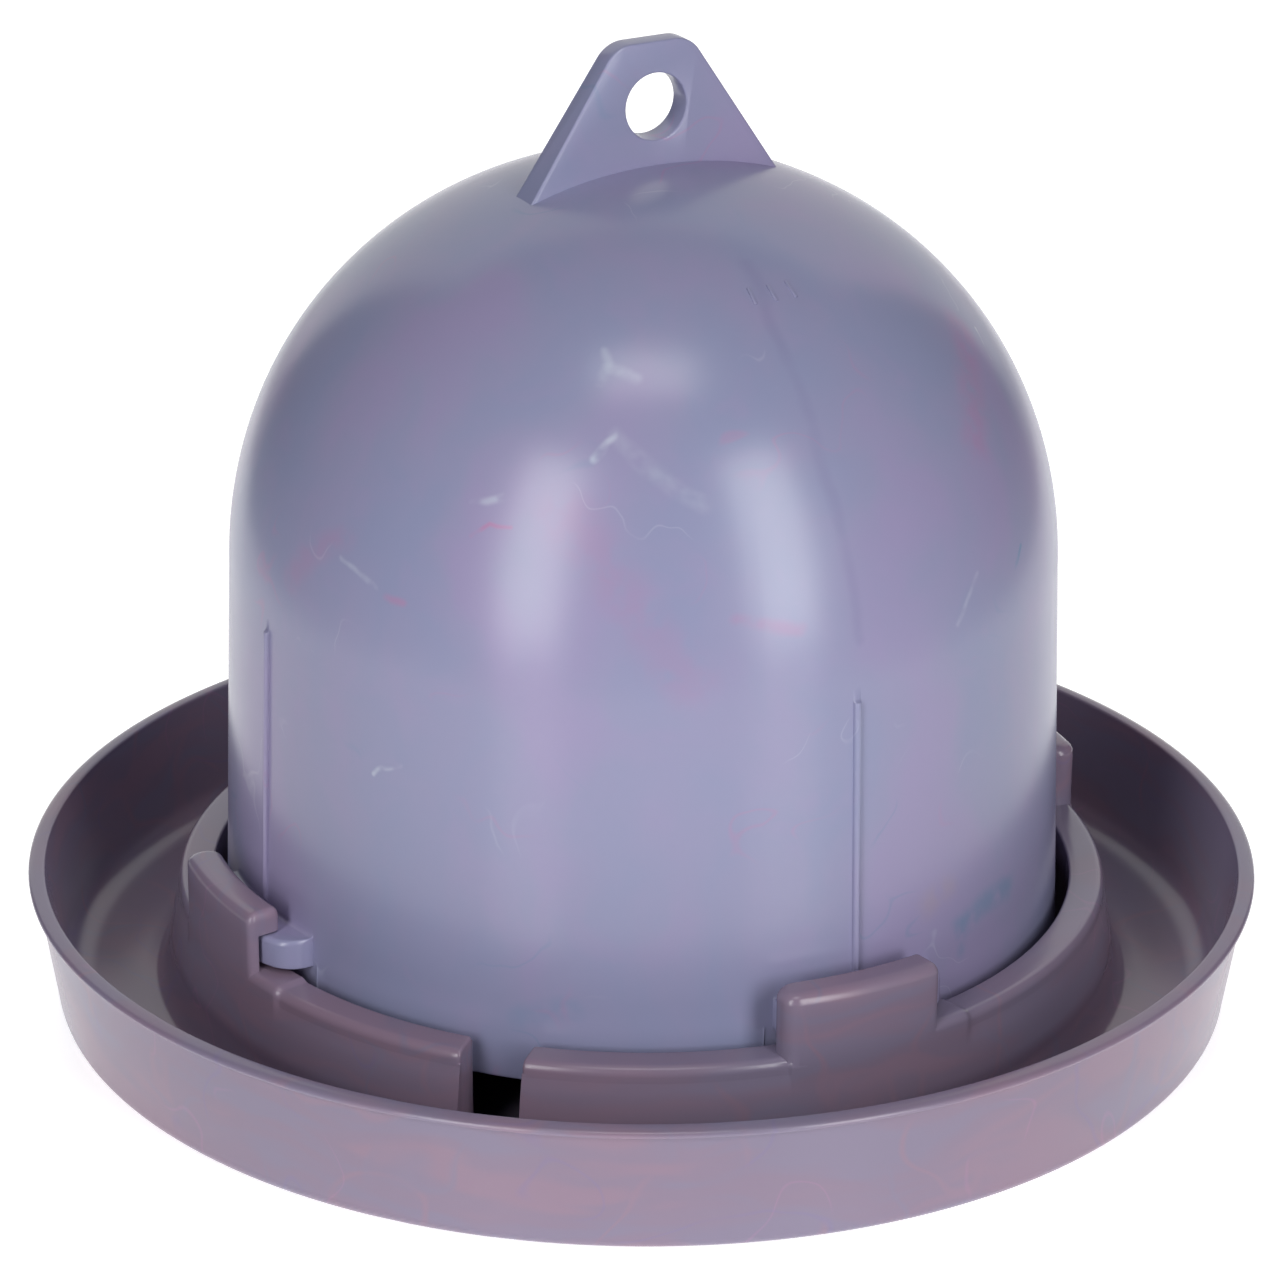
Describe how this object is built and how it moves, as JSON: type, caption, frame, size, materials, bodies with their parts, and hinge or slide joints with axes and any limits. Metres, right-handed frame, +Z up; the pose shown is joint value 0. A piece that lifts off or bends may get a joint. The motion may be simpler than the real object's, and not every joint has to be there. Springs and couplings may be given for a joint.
{
  "type": "poultry waterer fount",
  "caption": "Plastic poultry waterer: a domed reservoir bell with a hanging eyelet, twist-locked onto a round drinking tray with a lipped trough.",
  "frame": {"origin": "on the floor below the centre of the tray, on the common axis of bell and tray", "axes": "+Z up along the common axis; the eyelet's plate runs along X and the four locking lugs lie on the X and Y axes; the outlet notch is 46.4 degrees past -X towards -Y"},
  "size_m": [0.272, 0.272, 0.215],
  "materials": {
    "bell": "satin moulded recycled plastic, bluish lavender with faint marbling",
    "tray": "satin moulded recycled plastic, mauve with faint marbling"
  },
  "bodies": {
    "tray": {"tray": "tray"},
    "bell": {"bell": "bell"}
  },
  "joints": [
    {"name": "bell_twist", "type": "hinge", "parent": "tray", "child": "bell", "pos_m": [0, 0, 0.0168], "axis": [0, 0, 1], "range_deg": [0, 63]}
  ]
}
